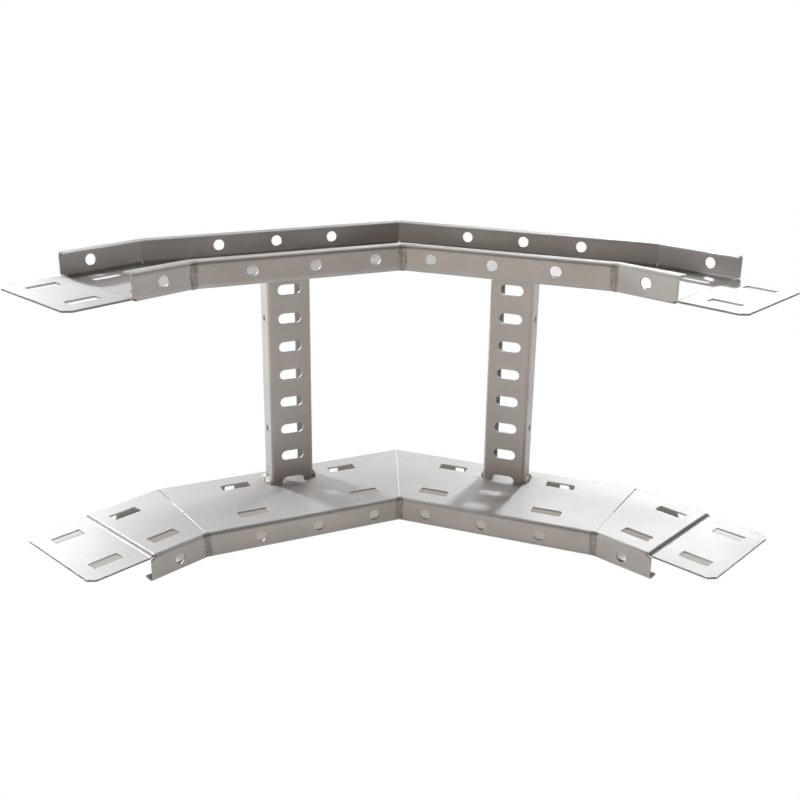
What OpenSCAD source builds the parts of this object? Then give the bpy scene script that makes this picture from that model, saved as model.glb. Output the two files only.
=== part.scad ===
// Cable ladder vertical bend, welded from folded steel sheet.
// The bend lies on its side: one rail on the floor, the other above it, two rungs between
// their webs, and the hollow of the bend faces -Y. Sizes are in millimetres.
// Along a rail, "along" runs from the middle of the bend towards its end, and "across"
// runs from the hollow edge of the web to its outer edge.

/* [Bend] */
// Angle that the whole bend turns through
bend_angle = 90; // [40:1:100]
// Clear width between the webs of the two rails
ladder_width = 200; // [120:1:600]
// Length of each main stretch along the hollow edge
main_length = 168; // [145:1:260]
// Length of each end stretch along the hollow edge
end_length = 52; // [42:1:90]

/* [Side rails] */
// Depth of a rail across its web
rail_depth = 100; // [75:1:150]
// Height of the flanges, from the inner face of the web
flange_height = 22; // [18:0.5:40]
// Depth of the lip on the edge of each flange
lip_depth = 10; // [6:0.5:20]
// Angle that the lips lean in past square
lip_lean = 6; // [0:0.5:12]
// Thickness of the rail sheet
sheet = 1.5; // [1:0.1:2.5]
// Inside radius of the folds in the rail section
fold_radius = 2.5; // [0.5:0.1:3]
// Gap left in a closed mitre at the hollow edge
seam_gap_front = 0.1; // [0.1:0.1:1]
// Gap left in a closed mitre at the outer edge
seam_gap_back = 0.7; // [0.1:0.1:2]

/* [Coupling plates] */
// Length of a coupling plate past the end of the flanges
plate_length = 51; // [42:1:90]
// Clearance between a coupling plate's edge and the flange of the rail that it enters
plate_side_gap = 1; // [0.5:0.1:3]
// Clearance between a coupling plate's face and the web of the rail that it enters
plate_face_gap = 0.1; // [0:0.05:0.5]
// Corner cut off each end of a coupling plate
plate_corner = 5.2; // [1:0.1:12]
// Distance from the end of the flanges back to the start of the step in the web
step_start = 4.8; // [4:0.1:8]
// Length over which the web steps out to the coupling plate, in two bends
step_run = 4.6; // [4:0.1:8]
// Inside radius of the two bends of the step
step_fold_radius = 0.8; // [0.3:0.1:1.5]
// Clearance of the corner notch around the step
notch_gap = 0.5; // [0.3:0.1:2]

/* [Holes in the rails] */
// Diameter of the round holes in the flanges
hole_d = 9; // [5:0.1:11]
// Distance between neighbouring holes in a flange
hole_pitch = 50; // [30:1:60]
// Height of the hole centres from the inner face of the web
hole_height = 11.5; // [9:0.25:20]
// Length of the slots in the web
slot_length = 25; // [10:0.5:32]
// Width of the slots in the web
slot_width = 10; // [5:0.1:12]
// Corner radius of the slots in the web
slot_corner = 1.2; // [0.5:0.1:4]
// Distance between the two pairs of slots in a main stretch
slot_pitch = 100; // [70:1:110]
// Distance from the edges of the web to the middle of the slot rows
slot_edge = 22.5; // [16:0.5:30]
// Distance of the coupling slots and holes from the end of the flanges, both ways
coupling_offset = 26; // [20:0.5:34]

/* [Rungs] */
// Place of the rungs along the hollow edge, from the middle of the bend
rung_place = 73.5; // [70:0.5:90]
// Width of a rung's slotted face
rung_width = 38; // [28:0.5:60]
// Depth of a rung's side walls
rung_depth = 22; // [12:0.5:40]
// Depth of the lip on the edge of each side wall
rung_lip = 7.5; // [4:0.5:12]
// Distance from the outer edge of the web to the open back of a rung
rung_back_gap = 11; // [4:0.5:20]
// Thickness of the rung sheet
rung_sheet = 1.5; // [1:0.1:3]
// Inside radius of the folds in a rung
rung_fold_radius = 1.5; // [0.5:0.1:3]
// Length of the slots in a rung's face
rung_slot_length = 20; // [12:0.5:26]
// Width of the slots in a rung's face
rung_slot_width = 9; // [5:0.1:14]
// Distance between neighbouring slots in a rung's face
rung_slot_pitch = 25; // [18:0.5:40]
// Height of the lowest slot's middle above the lower web
rung_slot_first = 1; // [-4:0.5:12]
// Diameter of the holes in a rung's side walls
rung_hole_d = 6; // [3:0.1:9]
// Distance between the two holes in a rung's side wall
rung_hole_pitch = 100; // [40:1:110]

/* [Hidden] */
$fn = 48;

// Overshoot of cutting solids past the faces that they cut
over = 1;

// Slopes of the stretches against X, and half of the turn at each mitre
main_slope = bend_angle / 4;
end_slope = bend_angle / 2;
middle_half_turn = main_slope;
end_half_turn = (end_slope - main_slope) / 2;

// Unit vectors along and across a stretch of a given slope
function along(slope) = [cos(slope), -sin(slope)];
function across(slope) = [sin(slope), cos(slope)];

// Plan points of the right half: the mitres on the hollow edge and on the outer edge
end_mitre_slope = main_slope + end_half_turn;
front_end = main_length * along(main_slope);
back_middle = [0, rail_depth / cos(middle_half_turn)];
back_end = front_end + rail_depth / cos(end_half_turn) * across(end_mitre_slope);

// Folds, drop of the open seams through the web, its folds and the leaning lips, step and notch
fold_zone = sheet + fold_radius;
seam_drop = sheet + max(fold_radius / 2, (lip_depth - fold_zone) * tan(lip_lean));
plate_inset = sheet + plate_side_gap;
step_depth = sheet + plate_face_gap;
notch_length = step_start + notch_gap;
notch_drop = step_depth + sheet + notch_gap;

// Largest radius that the step has room for, radius of its bends at the middle of the sheet, and their turn
step_room = (step_run * step_run + step_depth * step_depth) / (4 * step_depth);
step_radius = min(step_fold_radius + sheet / 2, step_room);
step_rise = 2 * step_radius - step_depth;
step_turn = asin(2 * step_radius / norm([step_run, step_rise])) - atan2(step_rise, step_run);
step_facets = 5;

// Places of the holes and slots along their stretches
main_holes = [for (i = [-1:1]) rung_place + i * hole_pitch];
main_slots = [for (i = [-1, 1]) rung_place + i * slot_pitch / 2];
end_hole = end_length - coupling_offset;
plate_slot = end_length + coupling_offset;
slot_rows = [slot_edge, rail_depth - slot_edge];

// Faces of a rung across the web
rung_back = rail_depth - rung_back_gap;
rung_front = rung_back - rung_depth;

// Outline of a coupling plate in its stretch, with its two outer corners cut off
plate_end = end_length + plate_length;
plate_outline = [
    [end_length - step_start, plate_inset],
    [plate_end - plate_corner, plate_inset],
    [plate_end, plate_inset + plate_corner],
    [plate_end, rail_depth - plate_inset - plate_corner],
    [plate_end - plate_corner, rail_depth - plate_inset],
    [end_length - step_start, rail_depth - plate_inset],
];

// Middle of the plan in Y, which becomes the origin
function in_end(p) = front_end + p[0] * along(end_slope) + p[1] * across(end_slope);
plan_y = [
    0,
    back_middle[1],
    back_end[1],
    in_end([end_length, 0])[1],
    for (p = plate_outline) in_end(p)[1],
];
plan_middle = (min(plan_y) + max(plan_y)) / 2;

// Both halves of the bend, from its right half
module both_halves() {
    children();
    mirror([1, 0, 0]) children();
}

// Frame of the end mitre: Y along the mitre, from the hollow edge outwards
module in_end_mitre() {
    translate(front_end) rotate(-end_mitre_slope) children();
}

// Frame of a main stretch: X along it from the middle of the bend, Y across its web
module in_main_stretch() {
    in_end_mitre() rotate(end_half_turn) translate([-main_length, 0, 0]) children();
}

// Frame of an end stretch: X along it from its mitre, Y across its web
module in_end_stretch() {
    in_end_mitre() rotate(-end_half_turn) children();
}

// Rectangle with round corners, from the origin
module round_rect(size, r) {
    translate([r, 0]) square([size[0] - 2 * r, size[1]]);
    translate([0, r]) square([size[0], size[1] - 2 * r]);
    for (x = [r, size[0] - r], y = [r, size[1] - r]) translate([x, y]) circle(r);
}

// Filled outline of a channel: its face lies along X, its walls along Y, and a top leans in from each wall
module channel_outline(width, depth, r, reach, lean) {
    translate([r, 0]) square([width - 2 * r, depth - r]);
    translate([0, r]) square([width, depth - 2 * r]);
    for (x = [r, width - r], y = [r, depth - r]) translate([x, y]) circle(r);
    translate([r, depth - r]) rotate(-lean) translate([0, -r]) square([reach, 2 * r]);
    translate([width - r, depth - r]) rotate(lean) translate([-reach, -r]) square([reach, 2 * r]);
}

// Section of a folded channel: the sheet between its outer and inner outline, open between the lips
module channel_section(width, depth, lip, lean, thickness, r) {
    difference() {
        channel_outline(width, depth, thickness + r, lip, lean);
        translate([thickness, thickness])
            channel_outline(width - 2 * thickness, depth - 2 * thickness, r, lip + over, lean);
        translate([lip, depth / 2]) square([width - 2 * lip, depth]);
    }
}

// Section of a rail, web, flanges and lips, carried along X
module rail_bar(from, to) {
    translate([from, 0, 0]) rotate([90, 0, 90]) linear_extrude(to - from)
        channel_section(rail_depth, flange_height, lip_depth, lip_lean, sheet, fold_radius);
}

// All that lies on one side of a mitre, and its open seam in the web and the lips.
// It works in the mitre's frame, with Y along the mitre from the hollow edge outwards.
module beyond_mitre(side, half_turn) {
    reach = main_length + rail_depth;
    near = fold_zone / cos(half_turn);
    far = rail_depth / cos(half_turn) + over;
    translate([side > 0 ? 0 : -2 * reach, -reach, -over])
        cube([2 * reach, 3 * reach, flange_height + 2 * over]);
    for (z = [-over, flange_height - seam_drop])
        translate([0, 0, z]) linear_extrude(seam_drop + over) polygon([
            [-seam_gap_front / 2, near],
            [seam_gap_front / 2, near],
            [seam_gap_back / 2, far],
            [-seam_gap_back / 2, far],
        ]);
}

// Main stretch, cut to its end mitre and run on past the middle of the bend
module main_stretch() {
    difference() {
        in_main_stretch() rail_bar(-rail_depth, main_length + rail_depth);
        in_end_mitre() beyond_mitre(1, end_half_turn);
    }
}

// End stretch, cut to its mitre, with its web cut back to the step
module end_stretch() {
    difference() {
        in_end_stretch() rail_bar(-rail_depth, end_length);
        in_end_mitre() beyond_mitre(-1, end_half_turn);
        in_end_stretch() {
            translate([end_length - step_start, plate_inset, -over])
                cube([step_start + over, rail_depth - 2 * plate_inset, fold_zone + over]);
            for (y = [-over, rail_depth - plate_inset]) translate([0, y, 0]) corner_notch();
        }
    }
}

// Notch that frees the step from a flange, cut across one fold of the web
module corner_notch() {
    translate([0, plate_inset + over, 0]) rotate([90, 0, 0]) linear_extrude(plate_inset + over) polygon([
        [end_length - notch_length, -over],
        [end_length - notch_length, sheet],
        [end_length, notch_drop],
        [end_length + over, notch_drop],
        [end_length + over, -over],
    ]);
}

// Points of the step in one face of the sheet, at a height from the middle of the sheet.
// The first bend turns the web outwards, a straight flank follows and the second bend turns it back.
function step_face(height) = [
    for (i = [0 : step_facets]) let (turn = step_turn * i / step_facets) [
        end_length - step_start + (step_radius - height) * sin(turn),
        sheet / 2 + step_radius - (step_radius - height) * cos(turn),
    ],
    for (i = [step_facets : -1 : 0]) let (turn = step_turn * i / step_facets) [
        end_length - step_start + step_run - (step_radius + height) * sin(turn),
        sheet / 2 + step_depth - step_radius + (step_radius + height) * cos(turn),
    ],
];

// Coupling plate: the web runs on past the flanges, one sheet further out
module coupling_plate() {
    inner_face = step_face(-sheet / 2);
    outer_face = step_face(sheet / 2);
    in_end_stretch() intersection() {
        translate([0, rail_depth, 0]) rotate([90, 0, 0]) linear_extrude(rail_depth) polygon([
            each inner_face,
            [plate_end, step_depth],
            [plate_end, step_depth + sheet],
            for (i = [len(outer_face) - 1 : -1 : 0]) outer_face[i],
        ]);
        translate([0, 0, -over]) linear_extrude(step_depth + sheet + 2 * over) polygon(plate_outline);
    }
}

// Slot through the web, centred at a place along and across
module web_slot(place, row) {
    translate([place - slot_length / 2, row - slot_width / 2, -over])
        linear_extrude(step_depth + sheet + 2 * over) round_rect([slot_length, slot_width], slot_corner);
}

// Hole through both flanges at a place along
module flange_hole(place) {
    translate([place, -over, hole_height]) rotate([-90, 0, 0])
        cylinder(d = hole_d, h = rail_depth + 2 * over);
}

// Whole rail, with the inner face of its web at Z = 0 and its flanges upwards
module rail() {
    difference() {
        both_halves() difference() {
            union() {
                main_stretch();
                end_stretch();
                coupling_plate();
            }
            beyond_mitre(-1, middle_half_turn);
        }
        both_halves() {
            in_main_stretch() {
                for (place = main_slots, row = slot_rows) web_slot(place, row);
                for (place = main_holes) flange_hole(place);
            }
            in_end_stretch() {
                for (place = [end_hole, plate_slot], row = slot_rows) web_slot(place, row);
                flange_hole(end_hole);
            }
        }
    }
}

// Slot with round ends, centred, that cuts a rung's face along +Z
module rung_slot() {
    straight = rung_slot_length - rung_slot_width;
    linear_extrude(rung_sheet + 2 * over) {
        square([straight, rung_slot_width], center = true);
        for (x = [-straight / 2, straight / 2]) translate([x, 0]) circle(d = rung_slot_width);
    }
}

// Rung of the right half, a lipped channel that stands on Z = 0
module rung() {
    in_main_stretch() difference() {
        translate([rung_place - rung_width / 2, rung_front, 0]) linear_extrude(ladder_width)
            channel_section(rung_width, rung_depth, rung_lip, 0, rung_sheet, rung_fold_radius);
        for (z = [rung_slot_first : rung_slot_pitch : ladder_width + rung_slot_width / 2])
            translate([rung_place, rung_front - over, z]) rotate([-90, 0, 0]) rung_slot();
        for (i = [-1, 1])
            translate([
                rung_place - rung_width / 2 - over,
                rung_front + rung_depth / 2,
                ladder_width / 2 + i * rung_hole_pitch / 2,
            ])
                rotate([0, 90, 0]) cylinder(d = rung_hole_d, h = rung_width + 2 * over);
    }
}

// Place of everything above the lower web's inner face, with the plan's middle at the origin
module above_lower_web() {
    translate([0, -plan_middle, flange_height]) children();
}

module lower_rail() {
    color([0.78, 0.77, 0.75]) above_lower_web() mirror([0, 0, 1]) rail();
}

module upper_rail() {
    color([0.78, 0.77, 0.75]) above_lower_web() translate([0, 0, ladder_width]) rail();
}

module left_rung() {
    color([0.7, 0.68, 0.66]) above_lower_web() mirror([1, 0, 0]) rung();
}

module right_rung() {
    color([0.7, 0.68, 0.66]) above_lower_web() rung();
}

lower_rail();
upper_rail();
left_rung();
right_rung();
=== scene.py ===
"""Looks of a welded cable ladder vertical bend: sheet finish, weld metal, floor, light and camera.

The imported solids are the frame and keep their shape. Lengths are in metres in the part's own frame: X runs
along the bend, the hollow of the bend faces -Y, and Z = 0 is the floor. In a stretch of rail, "along" runs
from the middle of the bend to its end and "across" from the hollow edge of the web to its outer edge.
"""

import math

import bpy
import numpy as np
from mathutils import Matrix, Vector


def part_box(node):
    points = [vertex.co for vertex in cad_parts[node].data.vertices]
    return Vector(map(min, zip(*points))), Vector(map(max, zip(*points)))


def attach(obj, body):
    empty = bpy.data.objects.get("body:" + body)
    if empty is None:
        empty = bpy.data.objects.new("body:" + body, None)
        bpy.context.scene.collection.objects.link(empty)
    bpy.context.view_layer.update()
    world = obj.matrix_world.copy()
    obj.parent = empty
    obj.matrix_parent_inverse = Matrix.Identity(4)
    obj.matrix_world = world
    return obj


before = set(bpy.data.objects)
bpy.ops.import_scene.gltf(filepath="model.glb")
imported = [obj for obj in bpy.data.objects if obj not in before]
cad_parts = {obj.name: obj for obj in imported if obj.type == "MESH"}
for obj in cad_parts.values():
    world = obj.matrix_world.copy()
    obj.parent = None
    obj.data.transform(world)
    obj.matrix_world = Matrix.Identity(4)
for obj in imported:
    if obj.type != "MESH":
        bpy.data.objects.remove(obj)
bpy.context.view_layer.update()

MM = 0.001

# Sizes of the bend that the weld metal and the finishes follow
MAIN_SLOPE = math.radians(22.5)
END_SLOPE = math.radians(45)
MAIN_LENGTH = 168 * MM
END_LENGTH = 52 * MM
STEP_START = 4.8 * MM
STEP_RUN = 4.6 * MM
PLATE_LENGTH = 51 * MM
PLATE_INSET = 2.5 * MM
PLATE_CORNER = 5.2 * MM
FLANGE_END = MAIN_LENGTH + END_LENGTH
RAIL_DEPTH = 100 * MM
FOLD_RADIUS = 4 * MM
RUNG_PLACE = 73.5 * MM
RUNG_WIDTH = 38 * MM
RUNG_FRONT = 67 * MM
RUNG_BACK = 89 * MM

# Places that the frame gives
WEB_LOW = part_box("left_rung")[0].z
WEB_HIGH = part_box("left_rung")[1].z
FLANGE_HEIGHT = WEB_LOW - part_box("lower_rail")[0].z
HOLLOW_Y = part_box("lower_rail")[1].y - RAIL_DEPTH / math.cos(MAIN_SLOPE)

# Mitres: half of the turn at each, and the slope of the end mitre's own line
MIDDLE_HALF_TURN = MAIN_SLOPE
END_HALF_TURN = (END_SLOPE - MAIN_SLOPE) / 2
END_MITRE_SLOPE = MAIN_SLOPE + END_HALF_TURN
END_MITRE = (MAIN_LENGTH * math.cos(MAIN_SLOPE), HOLLOW_Y - MAIN_LENGTH * math.sin(MAIN_SLOPE))

# Camera of the photograph, for a picture of 800 x 800 pixels
PICTURE = 800
FOCAL_PIXELS = 1021.6
AXIS_ABOVE_CENTRE = 40.65
SENSOR = 36.0
CAMERA_PLACE = (-0.02857, -0.78646, 0.41190)
CAMERA_YAW = -1.967
CAMERA_PITCH = -18.291
CAMERA_ROLL = 0.765

# Sizes of the weld metal
BEAD_HALF_WIDTH = 2.7 * MM
BEAD_CROWN = 0.4 * MM
BEAD_WANDER = 0.5 * MM
BEAD_BURIED = 0.5 * MM
FILLET_BURIED = 0.3 * MM
SPATTER_DROPS = 36
TACK_RADIUS = 0.9 * MM
TACK_SHARE = 0.44

# Colours of the sheet: plain, heat tint beside a weld that also serves as painted shade at the rungs' feet,
# painted shade on the plates' cut edges and on the steps' flanks, and how far its edges look rounded
SHEET = (0.60, 0.60, 0.60)
HEAT_TINT_AND_SHADE = (0.30, 0.265, 0.23)
PAINTED_EDGE_SHADE = (0.37, 0.37, 0.37)
PAINTED_FLANK_SHADE = (0.27, 0.27, 0.27)
EDGE_ROUNDING = 0.4 * MM

# Colours of the stage: plain white, and the floor's painted shade under the rail, its paint and its glow
WHITE = (1.0, 1.0, 1.0)
PAINTED_FLOOR_SHADE = (0.40, 0.37, 0.335)
FLOOR_PAINT = (0.55, 0.55, 0.55)
FLOOR_GLOW = (1.0, 0.93, 0.86)

# The lights stand round the bend at one distance and face one point of it.
# The two key lights stand nearer and face the foot of a rung.
LIGHT_AIM = (0.0, 0.0, 0.1)
LIGHT_DISTANCE = 2.4
SMALL_BOX = (0.4, 0.4)
LARGE_BOX = (1.2, 1.05)
KEY_BOX = (0.08, 0.08)
KEY_DISTANCE = 1.1
LEFT_FOOT = (-0.0935, 0.0455, 0.022)
RIGHT_FOOT = (0.0935, 0.0455, 0.022)


def along(slope):
    """Unit vector along a stretch of the right half."""
    return np.array([math.cos(slope), -math.sin(slope), 0.0])


def across(slope):
    """Unit vector across a stretch of the right half, from the hollow edge outwards."""
    return np.array([math.sin(slope), math.cos(slope), 0.0])


# Shader nodes

class Shader:
    """A material's node tree, with short calls that make a node and join its sockets."""

    def __init__(self, name):
        self.material = bpy.data.materials.new(name)
        self.material.use_nodes = True
        self.tree = self.material.node_tree
        self.tree.nodes.clear()

    def add(self, kind, sockets=None, **settings):
        """A node of a kind, with its settings and its sockets set to a value or joined to an output."""
        made = self.tree.nodes.new(kind)
        for name, value in settings.items():
            setattr(made, name, value)
        for name, value in (sockets or {}).items():
            if isinstance(value, bpy.types.NodeSocket):
                self.tree.links.new(value, made.inputs[name])
            else:
                made.inputs[name].default_value = value
        return made

    def math(self, operation, first, second=0.0):
        """Result of a Math node."""
        return self.add("ShaderNodeMath", {0: first, 1: second}, operation=operation).outputs[0]

    def product(self, *factors):
        """Product of two or more values."""
        result = factors[0]
        for factor in factors[1:]:
            result = self.math("MULTIPLY", result, factor)
        return result

    def band(self, value, low, high):
        """1 where a value lies between two limits and 0 elsewhere."""
        return self.product(self.math("GREATER_THAN", value, low), self.math("LESS_THAN", value, high))

    def joined(self, x, y, z):
        """Vector from its three parts."""
        return self.add("ShaderNodeCombineXYZ", {"X": x, "Y": y, "Z": z}).outputs[0]

    def dot(self, vector, direction):
        """Part of a vector along a fixed direction."""
        made = self.add("ShaderNodeVectorMath", {0: vector, 1: tuple(direction)}, operation="DOT_PRODUCT")
        return made.outputs["Value"]

    def span(self, value, low, high, to_low=0.0, to_high=1.0):
        """A value carried smoothly from one span to another and held at its ends."""
        sockets = {0: value, 1: low, 2: high, 3: to_low, 4: to_high}
        made = self.add("ShaderNodeMapRange", sockets, interpolation_type="SMOOTHSTEP")
        return made.outputs[0]

    def noise(self, vector, scale, detail=2.0, roughness=0.5):
        """Noise from 0 to 1 over a vector."""
        sockets = {"Vector": vector, "Scale": scale, "Detail": detail, "Roughness": roughness}
        return self.add("ShaderNodeTexNoise", sockets).outputs["Fac"]

    def stretched(self, vector, factors):
        """A vector with each of its parts scaled."""
        made = self.add("ShaderNodeVectorMath", {0: vector, 1: factors}, operation="MULTIPLY")
        return made.outputs[0]

    def tinted(self, factor, first, second):
        """Colour between two colours."""
        made = self.add("ShaderNodeMix", data_type="RGBA", blend_type="MIX", clamp_factor=True)
        for index, value in ((0, factor), (6, first), (7, second)):
            if isinstance(value, bpy.types.NodeSocket):
                self.tree.links.new(value, made.inputs[index])
            else:
                made.inputs[index].default_value = value
        return made.outputs[2]

    def finish(self, surface):
        """Joins the surface shader to the output and returns the material."""
        out = self.add("ShaderNodeOutputMaterial")
        self.tree.links.new(surface, out.inputs["Surface"])
        return self.material


def rgba(red, green, blue):
    """An opaque colour."""
    return (red, green, blue, 1.0)


def mirrored_place(shader):
    """Object coordinates, the same folded onto the right half of the bend, and the height.

    Both halves share one pattern in the folded place.
    """
    place = shader.add("ShaderNodeTexCoord").outputs["Object"]
    parts = shader.add("ShaderNodeSeparateXYZ", {0: place}).outputs
    folded = shader.joined(shader.math("ABSOLUTE", parts["X"]), parts["Y"], parts["Z"])
    return place, folded, parts["Z"]


def from_point(shader, vector, point):
    """A vector measured from a fixed point."""
    made = shader.add("ShaderNodeVectorMath", {0: vector, 1: tuple(point)}, operation="SUBTRACT")
    return made.outputs[0]


def stretch_place(shader, folded):
    """Place along and across the stretch that a point lies in, and its distance to the nearest mitre."""
    from_middle = from_point(shader, folded, (0.0, HOLLOW_Y, 0.0))
    from_end = from_point(shader, folded, (*END_MITRE, 0.0))
    past_end = shader.dot(from_end, along(END_MITRE_SLOPE))
    in_end = shader.math("GREATER_THAN", past_end, 0.0)
    main_along = shader.dot(from_middle, along(MAIN_SLOPE))
    main_across = shader.dot(from_middle, across(MAIN_SLOPE))
    end_along = shader.math("ADD", shader.dot(from_end, along(END_SLOPE)), MAIN_LENGTH)
    end_across = shader.dot(from_end, across(END_SLOPE))
    more_along = shader.product(in_end, shader.math("SUBTRACT", end_along, main_along))
    more_across = shader.product(in_end, shader.math("SUBTRACT", end_across, main_across))
    place_along = shader.math("ADD", main_along, more_along)
    place_across = shader.math("ADD", main_across, more_across)
    to_middle = shader.dot(folded, (1.0, 0.0, 0.0))
    to_mitre = shader.math("MINIMUM", to_middle, shader.math("ABSOLUTE", past_end))
    return place_along, place_across, to_mitre


# Sheet and weld finishes

def mill_finish(shader, grain, tint, tint_colour):
    """Satin rolled sheet, with a tint of another colour where the tint is 1.

    It has faint rolling streaks, cloudy dull patches, a fine grain, a slightly uneven face and edges that
    look a little rounded.
    """
    streaks = shader.noise(shader.stretched(grain, (9.0, 420.0, 420.0)), 1.0, 3.0, 0.6)
    clouds = shader.noise(grain, 26.0, 4.0, 0.55)
    fine = shader.noise(shader.stretched(grain, (320.0, 3200.0, 3200.0)), 1.0, 2.0, 0.6)
    wave = shader.noise(grain, 11.0, 1.0, 0.4)
    tone = shader.math("ADD", shader.product(streaks, 0.2), shader.product(clouds, 0.8))
    dark = rgba(*(0.97 * part for part in SHEET))
    light = rgba(*(1.03 * part for part in SHEET))
    colour = shader.tinted(shader.span(tone, 0.3, 0.7), dark, light)
    colour = shader.tinted(tint, colour, tint_colour)
    plain_rough = shader.span(tone, 0.3, 0.7, 0.615, 0.585)
    rough = shader.math("ADD", plain_rough, shader.product(tint, 0.08))
    relief = shader.math("ADD", shader.product(wave, 8.0), shader.product(fine, 0.05))
    rounded = shader.add("ShaderNodeBevel", {"Radius": EDGE_ROUNDING}, samples=4)
    bump = shader.add("ShaderNodeBump", {
        "Strength": 0.35,
        "Distance": 0.1 * MM,
        "Height": relief,
        "Normal": rounded.outputs[0],
    })
    steel = shader.add("ShaderNodeBsdfPrincipled", {
        "Base Color": colour,
        "Metallic": 1.0,
        "Roughness": rough,
        "Normal": bump.outputs[0],
    })
    return shader.finish(steel.outputs[0])


def plate_edge(shader, place_along, place_across):
    """1 on the sheared edges of the coupling plates, where shade is painted, and 0 elsewhere.

    The plate is a rectangle with cut corners: a point lies on its edge where the least of its distances to
    the sides, the end and the cut corners is about nothing.
    """
    beyond = shader.math("SUBTRACT", place_along, FLANGE_END)
    from_middle = shader.math("ABSOLUTE", shader.math("SUBTRACT", place_across, RAIL_DEPTH / 2))
    to_side = shader.math("SUBTRACT", RAIL_DEPTH / 2 - PLATE_INSET, from_middle)
    to_end = shader.math("SUBTRACT", PLATE_LENGTH, beyond)
    corner = shader.math("SUBTRACT", shader.math("ADD", to_side, to_end), PLATE_CORNER)
    nearest = shader.math("MINIMUM", shader.math("MINIMUM", to_side, to_end), corner)
    on_edge = shader.math("LESS_THAN", nearest, 0.02 * MM)
    return shader.product(on_edge, shader.math("GREATER_THAN", beyond, 0.5 * MM))


def step_flank_shade(shader, place_along, place_across, height):
    """1 down the flank of each step, where shade is painted, fading to 0, clear of the flanges and lips."""
    middle = FLANGE_END - STEP_START + STEP_RUN / 2
    from_middle = shader.math("ABSOLUTE", shader.math("SUBTRACT", place_along, middle))
    mark = shader.span(from_middle, 0.8 * MM, 1.6 * MM, 1.0, 0.0)
    clear_of_flanges = shader.band(place_across, PLATE_INSET, RAIL_DEPTH - PLATE_INSET)
    clear_of_lips = shader.band(height, WEB_LOW - FLANGE_HEIGHT / 2, WEB_HIGH + FLANGE_HEIGHT / 2)
    return shader.product(mark, clear_of_flanges, clear_of_lips)


def rail_finish():
    """Sheet of the rails, with its grain along each stretch.

    It is heat-tinted beside the welded front mitres, and has painted shade on the plates' cut edges and down
    the steps' flanks.
    """
    shader = Shader("rail_mill_finish")
    place, folded, height = mirrored_place(shader)
    place_along, place_across, to_mitre = stretch_place(shader, folded)
    grain = shader.joined(place_along, place_across, height)
    ragged = shader.product(shader.noise(place, 420.0, 3.0), 3.0 * MM)
    beside = shader.span(shader.math("ADD", to_mitre, ragged), 3.0 * MM, 6.5 * MM, 1.0, 0.0)
    in_front = shader.span(place_across, 2.0 * MM, 5.0 * MM, 1.0, 0.0)
    burn_and_shade = shader.product(beside, in_front, 0.25)
    # Painted shade: the plates' cut edges are painted darker
    sheared = plate_edge(shader, place_along, place_across)
    # Painted shade: each step's flank is painted darker down its middle
    flank_shade = step_flank_shade(shader, place_along, place_across, height)
    tint = shader.math("MAXIMUM", burn_and_shade, shader.math("MAXIMUM", sheared, flank_shade))
    tint_colour = shader.tinted(sheared, rgba(*HEAT_TINT_AND_SHADE), rgba(*PAINTED_EDGE_SHADE))
    tint_colour = shader.tinted(flank_shade, tint_colour, rgba(*PAINTED_FLANK_SHADE))
    return mill_finish(shader, grain, tint, tint_colour)


def rung_finish():
    """Sheet of the rungs, with its grain upright, with painted shade in the brown of heat tint towards both
    feet.
    """
    shader = Shader("rung_mill_finish")
    place, folded, height = mirrored_place(shader)
    from_middle = from_point(shader, folded, (0.0, HOLLOW_Y, 0.0))
    place_along = shader.dot(from_middle, along(MAIN_SLOPE))
    place_across = shader.dot(from_middle, across(MAIN_SLOPE))
    grain = shader.joined(height, place_along, place_across)
    above_foot = shader.math("SUBTRACT", height, WEB_LOW)
    below_top = shader.math("SUBTRACT", WEB_HIGH, height)
    to_web = shader.math("MINIMUM", above_foot, below_top)
    ragged = shader.product(shader.noise(place, 300.0, 3.0), 4.0 * MM)
    # Painted shade: the sheet darkens towards both webs, in the brown of heat tint
    burn_and_shade = shader.span(shader.math("ADD", to_web, ragged), 2.0 * MM, 22.0 * MM, 0.45, 0.0)
    return mill_finish(shader, grain, burn_and_shade, rgba(*HEAT_TINT_AND_SHADE))


def weld_finish(name, base, rough, contrast):
    """Weld metal: mottled, with a fine crust, and heat-tinted in spots where its attribute "toe" nears 1."""
    shader = Shader(name)
    place = shader.add("ShaderNodeTexCoord").outputs["Object"]
    toe = shader.add("ShaderNodeAttribute", attribute_name="toe").outputs["Fac"]
    mottle = shader.noise(place, 650.0, 4.0, 0.6)
    spots = shader.noise(place, 420.0, 3.0, 0.6)
    crust = shader.noise(place, 2400.0, 3.0, 0.6)
    dark = rgba(*((1 - contrast) * part for part in base))
    light = rgba(*((1 + contrast) * part for part in base))
    colour = shader.tinted(shader.span(mottle, 0.35, 0.65), dark, light)
    stained = rgba(0.62 * base[0], 0.59 * base[1], 0.55 * base[2])
    ragged = shader.math("ADD", toe, shader.product(spots, 2.4))
    colour = shader.tinted(shader.span(ragged, 1.7, 2.5), colour, stained)
    roughness = shader.span(mottle, 0.35, 0.65, rough + 0.06, rough - 0.06)
    bump = shader.add("ShaderNodeBump", {"Strength": 0.4, "Distance": 0.1 * MM, "Height": crust})
    metal = shader.add("ShaderNodeBsdfPrincipled", {
        "Base Color": colour,
        "Metallic": 1.0,
        "Roughness": roughness,
        "Normal": bump.outputs[0],
    })
    return shader.finish(metal.outputs[0])


# Weld metal

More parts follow.
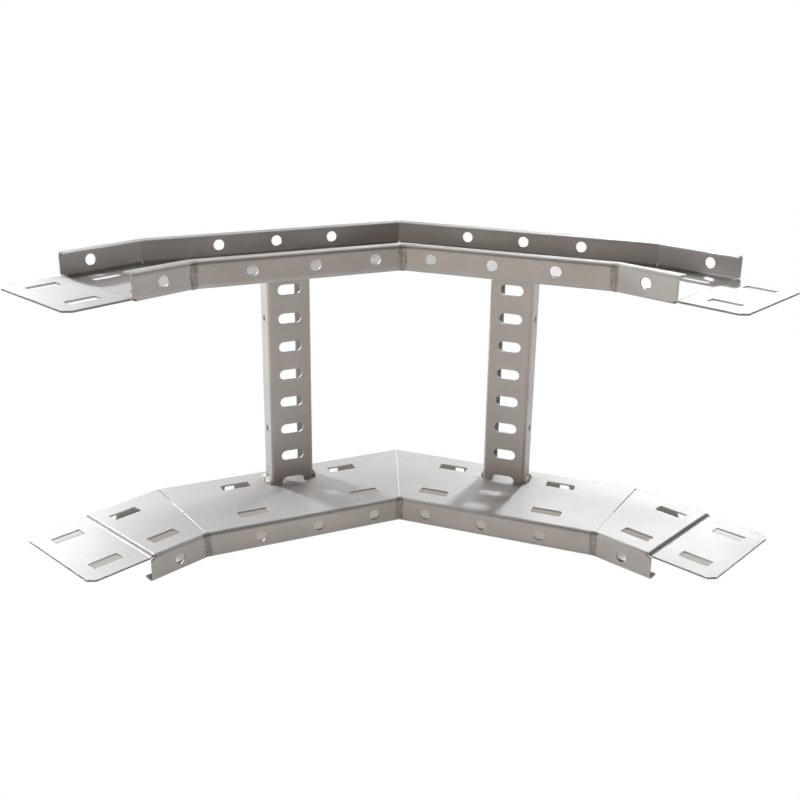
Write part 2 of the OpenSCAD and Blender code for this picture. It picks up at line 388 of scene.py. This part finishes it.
def closed_tubes(name, tubes, material, toe=None):
    """A mesh of closed tubes, each from rings of points: quads round the rings and a fan over each end.

    tubes has the shape (tubes, rings, points in a ring, 3). If the faces come out turned inwards, they are
    all turned round. toe, of the shape (tubes, rings, points in a ring), becomes the attribute "toe".
    """
    parts, count, size = tubes.shape[:3]
    caps = np.stack([tubes[:, 0].mean(1), tubes[:, -1].mean(1)], 1)
    points = np.concatenate([tubes.reshape(parts, -1, 3), caps], 1)
    ring, step = np.meshgrid(np.arange(count - 1), np.arange(size), indexing="ij")
    here = ring * size + step
    beside = ring * size + (step + 1) % size
    quads = np.stack([here, beside, beside + size, here + size], -1).reshape(-1, 4)
    turn = np.arange(size)
    after = (turn + 1) % size
    last = (count - 1) * size
    first_fan = np.stack([after, turn, np.full(size, count * size)], -1)
    last_fan = np.stack([last + turn, last + after, np.full(size, count * size + 1)], -1)
    fans = np.concatenate([first_fan, last_fan])
    corner = points[0, np.concatenate([quads[:, :3], quads[:, [0, 2, 3]], fans])]
    volume = np.einsum("ij,ij->", corner[:, 0], np.cross(corner[:, 1], corner[:, 2]))
    if volume < 0:
        quads, fans = quads[:, ::-1], fans[:, ::-1]
    offset = np.arange(parts)[:, None, None] * points.shape[1]
    faces = (quads + offset).reshape(-1, 4).tolist() + (fans + offset).reshape(-1, 3).tolist()
    mesh = bpy.data.meshes.new(name)
    mesh.from_pydata(points.reshape(-1, 3), [], faces)
    mesh.polygons.foreach_set("use_smooth", np.ones(len(mesh.polygons), bool))
    if toe is not None:
        ends = np.stack([toe[:, 0].mean(1), toe[:, -1].mean(1)], 1)
        values = np.concatenate([toe.reshape(parts, -1), ends], 1)
        mesh.attributes.new("toe", "FLOAT", "POINT").data.foreach_set("value", values.ravel())
    mesh.materials.append(material)
    piece = bpy.data.objects.new(name, mesh)
    bpy.context.scene.collection.objects.link(piece)
    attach(piece, "root")


def lumps(seed, first, second, rate):
    """Smooth uneven relief over two parameters: the mean of sine waves of random direction and phase."""
    count = 7
    draw = np.random.default_rng(seed)
    total = np.zeros(np.broadcast(first, second).shape)
    for turn, phase, speed in draw.uniform((0, 0, 0.4), (math.tau, math.tau, 1.0), (count, 3)):
        total = total + np.sin(rate * speed * (first * math.cos(turn) + second * math.sin(turn)) + phase)
    return total / count


def in_main(place_along, place_across, side):
    """Points of a main stretch from their places along and across it, on the left (-1) or right (1) half."""
    flat = place_along[..., None] * along(MAIN_SLOPE) + place_across[..., None] * across(MAIN_SLOPE)
    points = flat + np.array([0.0, HOLLOW_Y, 0.0])
    points[..., 0] *= side
    return points


def in_mitre(beside, outwards, side):
    """Points beside a mitre and outwards along its line, at the left (-1), middle (0) or right (1) mitre."""
    slope = END_MITRE_SLOPE if side else 0.0
    foot = np.array([*END_MITRE, 0.0]) if side else np.array([0.0, HOLLOW_Y, 0.0])
    points = foot + beside[..., None] * along(slope) + outwards[..., None] * across(slope)
    if side < 0:
        points[..., 0] *= -1
    return points


def on_web(points, above, web):
    """The same points, set above the lower web (-1) or below the upper web (1), towards the other web."""
    points[..., 2] = WEB_LOW + above if web < 0 else WEB_HIGH - above
    return points


def rung_fillet(name, side, end, leg, seed, material):
    """Fillet weld between a rung's side wall and a web.

    A quarter-round profile is carried along the foot of the wall. Its leg swells in overlapping drops along
    the seam, is uneven in coarse and fine lumps and shrinks to almost nothing at both ends. The side is -1
    or 1 for the left or right rung, and end is (wall, web): -1 or 1 for the wall towards the middle or the
    end of the bend, and -1 or 1 for the lower or upper web.
    """
    wall, web = end
    seam = np.linspace(0, 1, 130)[:, None]
    turn = np.linspace(-0.12, 1.12, 30)[None, :] * (math.pi / 2)
    drops = 0.92 + 0.16 * np.abs(np.sin(math.pi * 8.0 * seam))
    taper = np.sqrt(np.clip(1 - np.abs(2 * seam - 1) ** 5, 0.01, 1))
    coarse = 0.24 * lumps(seed, 18 * seam, 3 * turn, rate=1.6)
    fine = 0.14 * lumps(seed + 100, 75 * seam, 12 * turn, rate=1.6)
    reach = leg * drops * taper * (1 + coarse + fine)
    sunk = np.full_like(seam, -FILLET_BURIED)
    out = np.concatenate([reach * np.cos(turn) - 0.1 * MM, sunk], 1)
    up = np.concatenate([reach * np.sin(turn) - 0.1 * MM, sunk], 1)
    start = RUNG_FRONT + 1.0 * MM
    place_across = start + seam * (RUNG_BACK - start - 0.5 * MM) + np.zeros_like(out)
    place_along = RUNG_PLACE + wall * (RUNG_WIDTH / 2 + out)
    points = on_web(in_main(place_along, place_across, side), up, web)
    toe = np.concatenate([np.abs(turn / (math.pi / 4) - 1), [[1.0]]], 1) + 0 * out
    closed_tubes(name, points[None], material, toe[None])


def mitre_bead(name, side, rail, seed, material):
    """Seam weld down a mitre of a front flange.

    A low crowned profile is carried round the rail's outer contour, from the web over the fold, down the
    flange and into the fold of the lip. The profile lies in the shallow corner of the two flanges and rounds
    it out. It wanders, each of its edges swells and shrinks by itself, lumps cover it, and the attribute
    "toe" grows from its middle to its edges. The side is -1, 0 or 1 for the left, middle or right mitre, and
    rail is -1 or 1 for the lower or upper rail.
    """
    half_turn = END_HALF_TURN if side else MIDDLE_HALF_TURN
    straight = FLANGE_HEIGHT - 2 * FOLD_RADIUS
    quarter = FOLD_RADIUS * math.pi / 2
    length = 1.5 * quarter + straight
    run = np.linspace(0.02, 1, 140)[:, None] * length
    width = np.linspace(-1, 1, 33)[None, :]
    first = np.clip(run, 0, quarter) / FOLD_RADIUS
    last = np.clip(run - quarter - straight, 0, quarter) / FOLD_RADIUS
    inwards = FOLD_RADIUS * (2 - np.sin(first) - np.cos(last))
    drop = FOLD_RADIUS * (1 - np.cos(first) + np.sin(last)) + np.clip(run - quarter, 0, straight)
    outward = np.sin(first) * np.cos(last)
    upward = np.cos(first) - np.sin(last)
    taper = np.sqrt(np.clip(1 - np.abs(2 * run / length - 1) ** 8, 0.02, 1))
    edge = 4 * np.sign(width)
    swell = 0.5 * lumps(seed + 50, run / (2.4 * MM), edge, rate=1.5)
    jags = 0.35 * lumps(seed + 150, run / (0.8 * MM), edge, rate=1.5)
    half = BEAD_HALF_WIDTH * taper * (1 + swell + jags)
    wander = BEAD_WANDER * lumps(seed + 70, run / (4.0 * MM), 0 * run, rate=1.5)
    shift = wander + half * width
    uneven = 0.9 * lumps(seed, run / (2.6 * MM), 2.2 * width, rate=1.4)
    fine = 0.45 * lumps(seed + 100, run / (0.7 * MM), 7.0 * width, rate=1.4)
    crown = BEAD_CROWN * (1 - width ** 2) * np.clip(1 + uneven + fine, 0.2, 2) * taper - 0.04 * MM
    slope = math.tan(half_turn)
    plane = np.abs(shift)
    filled = np.sqrt(shift ** 2 + (0.35 * half) ** 2) * (1 - width ** 4) + plane * width ** 4
    front_out = filled * slope - inwards + crown * outward
    front_drop = drop - crown * upward
    rear_out = plane * slope - BEAD_BURIED - inwards
    rear_drop = drop + BEAD_BURIED * upward + 0 * rear_out
    beside = np.concatenate([shift, shift[:, ::-1]], 1)
    forward = np.concatenate([front_out, rear_out[:, ::-1]], 1)
    down = np.concatenate([front_drop, rear_drop[:, ::-1]], 1)
    toe = np.abs(np.concatenate([width, width[:, ::-1]], 1)) + 0 * down
    points = on_web(in_mitre(beside, -forward, side), -down, rail)
    closed_tubes(name, points[None], material, toe[None])


def seam_ridge(name, side, web, share, half, material):
    """Closed part of a mitre seam in a web: a slim half-round ridge from the hollow edge outwards.

    An ellipse, half sunk in the web, is carried along the mitre over a share of the web's depth. It is a
    little uneven and shrinks at both ends.
    """
    depth = RAIL_DEPTH / math.cos(END_HALF_TURN if side else MIDDLE_HALF_TURN)
    run = np.linspace(0, 1, 60)[:, None]
    turn = np.linspace(0, math.tau, 16, endpoint=False)[None, :]
    taper = np.sqrt(np.clip(1 - np.abs(2 * run - 1) ** 12, 0.02, 1))
    uneven = 1 + 0.2 * np.sin(37 * run) * np.sin(101 * run + side)
    beside = half * taper * uneven * np.cos(turn)
    above = 0.6 * half * taper * uneven * np.sin(turn)
    outwards = FOLD_RADIUS + run * (share * depth - FOLD_RADIUS) + 0 * beside
    points = on_web(in_mitre(beside, outwards, side), above, web)
    closed_tubes(name, points[None], material)


def domes(name, feet, radius, height, web, material):
    """Round drops of metal on a web: rings that shrink from a sunk rim to the top, on each of many feet."""
    rise = np.concatenate([[-0.6], np.linspace(0, 0.96, 6)]) * (math.pi / 2)
    turn = np.linspace(0, math.tau, 10, endpoint=False)
    rim = np.cos(np.clip(rise, 0, None))[None, :, None] * radius[:, None, None]
    above = np.sin(rise)[None, :, None] * height[:, None, None] + 0 * turn
    ring = np.stack([rim * np.cos(turn), rim * np.sin(turn), 0 * above], -1)
    points = on_web(feet[:, None, None, :] + ring, above, web)
    closed_tubes(name, points, material)


def spatter(name, web, seed, material):
    """Small drops thrown off beside the feet of both rungs, thinning out with their distance."""
    draw = np.random.default_rng(seed)
    count = SPATTER_DROPS
    side = draw.choice((-1.0, 1.0), count)
    wall = draw.choice((-1.0, 1.0), count)
    away = (4.0 + 9.0 * draw.random(count) ** 2) * MM
    place_along = RUNG_PLACE + wall * (RUNG_WIDTH / 2 + away)
    place_across = draw.uniform(RUNG_FRONT - 5 * MM, RUNG_BACK, count)
    radius = draw.uniform(0.2, 0.6, count) * MM
    feet = in_main(place_along, place_across, np.ones(count))
    feet[:, 0] *= side
    domes(name, feet, radius, 0.7 * radius, web, material)


def tacks(name, web, material):
    """Tack welds on the two end seams of a web, a little nearer to the hollow edge than its middle."""
    depth = RAIL_DEPTH / math.cos(END_HALF_TURN)
    place = np.array([TACK_SHARE * depth])
    feet = np.concatenate([in_mitre(0 * place, place, side) for side in (-1, 1)])
    radius = np.full(len(feet), TACK_RADIUS)
    domes(name, feet, radius, 0.3 * radius, web, material)


# Stage, light and camera

def white_floor():
    """Level pale floor that the bend lies on.

    The camera sees it plain white where it lies open, with an even beige shade painted under the lower rail.
    The painted shade ends short of the rail's open ends, and is fainter and softer under the coupling
    plates.
    The steel mirrors it as a lit floor with a dim warm glow.
    """
    reach = 12.0
    mesh = bpy.data.meshes.new("floor")
    corners = [(-reach, -reach, 0), (reach, -reach, 0), (reach, reach, 0), (-reach, reach, 0)]
    mesh.from_pydata(corners, [], [(0, 1, 2, 3)])
    floor = bpy.data.objects.new("floor", mesh)
    bpy.context.scene.collection.objects.link(floor)
    shader = Shader("white_floor")
    seen = shader.add("ShaderNodeLightPath").outputs["Is Camera Ray"]
    _, folded, _ = mirrored_place(shader)
    place_along, place_across, _ = stretch_place(shader, folded)
    # Painted shade: the camera sees beige under the lower rail and a fainter shade under the plates, set by
    # plan place
    short_of_opening = shader.span(place_along, FLANGE_END - 38 * MM, FLANGE_END - 25 * MM, 1.0, 0.0)
    between_flanges = shader.band(place_across, 6 * MM, RAIL_DEPTH)
    under_rail = shader.product(short_of_opening, between_flanges)
    past_opening = shader.span(place_along, FLANGE_END - 38 * MM, FLANGE_END - 20 * MM)
    short_of_end = shader.span(place_along, FLANGE_END + 20 * MM, FLANGE_END + 30 * MM, 1.0, 0.0)
    behind_middle = shader.span(place_across, 44 * MM, 52 * MM)
    fading = shader.span(place_across, RAIL_DEPTH - 5 * MM, RAIL_DEPTH + 30 * MM, 0.8, 0.0)
    under_plate = shader.product(past_opening, short_of_end, behind_middle, fading)
    shade = shader.math("MAXIMUM", under_rail, under_plate)
    shown = shader.tinted(shade, rgba(*WHITE), rgba(*PAINTED_FLOOR_SHADE))
    paint = shader.add("ShaderNodeBsdfDiffuse", {"Color": rgba(*FLOOR_PAINT)})
    glow = shader.add("ShaderNodeEmission", {"Color": rgba(*FLOOR_GLOW), "Strength": 0.37})
    lit = shader.add("ShaderNodeAddShader", {0: paint.outputs[0], 1: glow.outputs[0]})
    plain = shader.add("ShaderNodeEmission", {"Color": shown, "Strength": 1.0})
    both = shader.add("ShaderNodeMixShader", {0: seen, 1: lit.outputs[0], 2: plain.outputs[0]})
    mesh.materials.append(shader.finish(both.outputs[0]))


def softbox(name, azimuth, elevation, size, radiance, aim=LIGHT_AIM, distance=LIGHT_DISTANCE):
    """Rectangular area light that faces a point of the bend, unseen by the camera itself.

    Azimuth turns from behind the bend, +Y, to its right, and elevation is above the floor, both in degrees
    and seen from the point. The radiance is red, green and blue light from each part of its face.
    """
    turn, rise = math.radians(azimuth), math.radians(elevation)
    way = Vector((math.sin(turn) * math.cos(rise), math.cos(turn) * math.cos(rise), math.sin(rise)))
    strongest = max(radiance)
    light = bpy.data.lights.new(name, "AREA")
    light.shape = "RECTANGLE"
    light.size, light.size_y = size
    light.energy = strongest * size[0] * size[1] * math.pi
    light.color = [part / strongest for part in radiance]
    lamp = bpy.data.objects.new(name, light)
    lamp.location = Vector(aim) + distance * way
    lamp.rotation_euler = (-way).to_track_quat("-Z", "Y").to_euler()
    lamp.visible_camera = False
    bpy.context.scene.collection.objects.link(lamp)


def surroundings():
    """Dim grey room that the steel mirrors, and plain white where the camera sees past the floor."""
    world = bpy.data.worlds.new("room")
    world.use_nodes = True
    tree = world.node_tree
    tree.nodes.clear()
    room = tree.nodes.new("ShaderNodeBackground")
    room.inputs["Color"].default_value = rgba(0.01, 0.01, 0.01)
    white = tree.nodes.new("ShaderNodeBackground")
    white.inputs["Color"].default_value = rgba(*WHITE)
    seen = tree.nodes.new("ShaderNodeLightPath")
    choice = tree.nodes.new("ShaderNodeMixShader")
    out = tree.nodes.new("ShaderNodeOutputWorld")
    tree.links.new(seen.outputs["Is Camera Ray"], choice.inputs["Fac"])
    tree.links.new(room.outputs[0], choice.inputs[1])
    tree.links.new(white.outputs[0], choice.inputs[2])
    tree.links.new(choice.outputs[0], out.inputs["Surface"])
    bpy.context.scene.world = world


def photo_camera():
    """Camera at the photograph's place, turned by its yaw, pitch and roll, with its focal length."""
    yaw, pitch, roll = (math.radians(turn) for turn in (CAMERA_YAW, CAMERA_PITCH, CAMERA_ROLL))
    lens = bpy.data.cameras.new("camera")
    lens.sensor_width = SENSOR
    lens.lens = FOCAL_PIXELS * SENSOR / PICTURE
    lens.shift_y = -AXIS_ABOVE_CENTRE / PICTURE
    camera = bpy.data.objects.new("camera", lens)
    turned = Matrix.Rotation(yaw, 4, "Z") @ Matrix.Rotation(math.pi / 2 + pitch, 4, "X")
    camera.matrix_world = Matrix.Translation(CAMERA_PLACE) @ turned @ Matrix.Rotation(roll, 4, "Z")
    bpy.context.scene.collection.objects.link(camera)
    bpy.context.scene.camera = camera


# The bend

rail_steel = rail_finish()
rung_steel = rung_finish()
for node, steel in (
    ("lower_rail", rail_steel),
    ("upper_rail", rail_steel),
    ("left_rung", rung_steel),
    ("right_rung", rung_steel),
):
    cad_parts[node].material_slots[0].material = steel

bright_weld = weld_finish("bright_weld", (0.72, 0.71, 0.69), 0.4, 0.15)
grey_weld = weld_finish("grey_weld", (0.48, 0.47, 0.455), 0.42, 0.2)
heat_tinted_and_shaded_weld = weld_finish("heat_tinted_and_shaded_weld", (0.16, 0.145, 0.13), 0.5, 0.3)
seam_weld = weld_finish("seam_weld", (0.40, 0.395, 0.38), 0.52, 0.2)
closed_seam = weld_finish("closed_seam", (0.92, 0.915, 0.905), 0.45, 0.05)

SIDES = {-1: "left", 1: "right"}
WEBS = {-1: "lower", 1: "upper"}
WALLS = {-1: "inner", 1: "outer"}
MITRES = {-1: "left", 0: "middle", 1: "right"}

# Closed part of each web seam: its share of the web's depth, its half width and its metal
CLOSED_SEAMS = {
    -1: (0.72, 0.2 * MM, closed_seam),
    0: (0.97, 0.35 * MM, closed_seam),
    1: (TACK_SHARE, 0.3 * MM, grey_weld),
}

# Leg and metal of the fillets, by the side of the rung and its wall
FILLETS = {
    (-1, 1): (4.2 * MM, bright_weld),
    (1, 1): (3.2 * MM, grey_weld),
    # The inner fillets take the dark heat-tinted metal as painted shade beside the inner walls
    (-1, -1): (4.0 * MM, heat_tinted_and_shaded_weld),
    (1, -1): (2.8 * MM, heat_tinted_and_shaded_weld),
}

seed = 0
for side, side_name in SIDES.items():
    for web, web_name in WEBS.items():
        for wall, wall_name in WALLS.items():
            seed += 1
            leg, metal = FILLETS[side, wall]
            name = f"{side_name}_rung_{web_name}_{wall_name}_weld"
            rung_fillet(name, side, (wall, web), leg, seed, metal)
for web, web_name in WEBS.items():
    for side, side_name in MITRES.items():
        seed += 1
        mitre_bead(f"{web_name}_rail_{side_name}_seam_weld", side, web, seed, seam_weld)
        seam_ridge(f"{web_name}_rail_{side_name}_web_seam", side, web, *CLOSED_SEAMS[side])
    tacks(f"{web_name}_rail_tacks", web, heat_tinted_and_shaded_weld)
    spatter(f"{web_name}_rung_spatter", web, seed, bright_weld)

white_floor()
surroundings()
softbox("left_key", -51.5, 34.5, KEY_BOX, (400.0, 400.0, 405.0), LEFT_FOOT, KEY_DISTANCE)
softbox("right_key", 30, 43.5, KEY_BOX, (180.0, 180.0, 180.0), RIGHT_FOOT, KEY_DISTANCE)
softbox("back_left_box", -30, 38, SMALL_BOX, (5.0, 4.8, 4.6))
softbox("high_right_box", 15, 44, SMALL_BOX, (8.5, 8.2, 7.8))
softbox("low_left_box", -60, 20, SMALL_BOX, (15.0, 15.0, 14.5))
softbox("low_back_box", 0, 8, SMALL_BOX, (7.0, 7.0, 7.0))
softbox("low_right_box", 30, 8, SMALL_BOX, (12.0, 12.5, 13.0))
softbox("left_edge_box", -90, 8, SMALL_BOX, (13.0, 11.5, 11.0))
softbox("right_edge_box", 90, 8, SMALL_BOX, (14.0, 13.0, 12.5))
softbox("front_left_fill", -150, 14, LARGE_BOX, (2.2, 1.8, 1.45))
softbox("front_right_fill", 150, 14, LARGE_BOX, (0.9, 0.65, 0.5))
softbox("top_box", 0, 76, SMALL_BOX, (24.0, 23.0, 22.0))
photo_camera()
bpy.context.scene.view_settings.view_transform = "Standard"
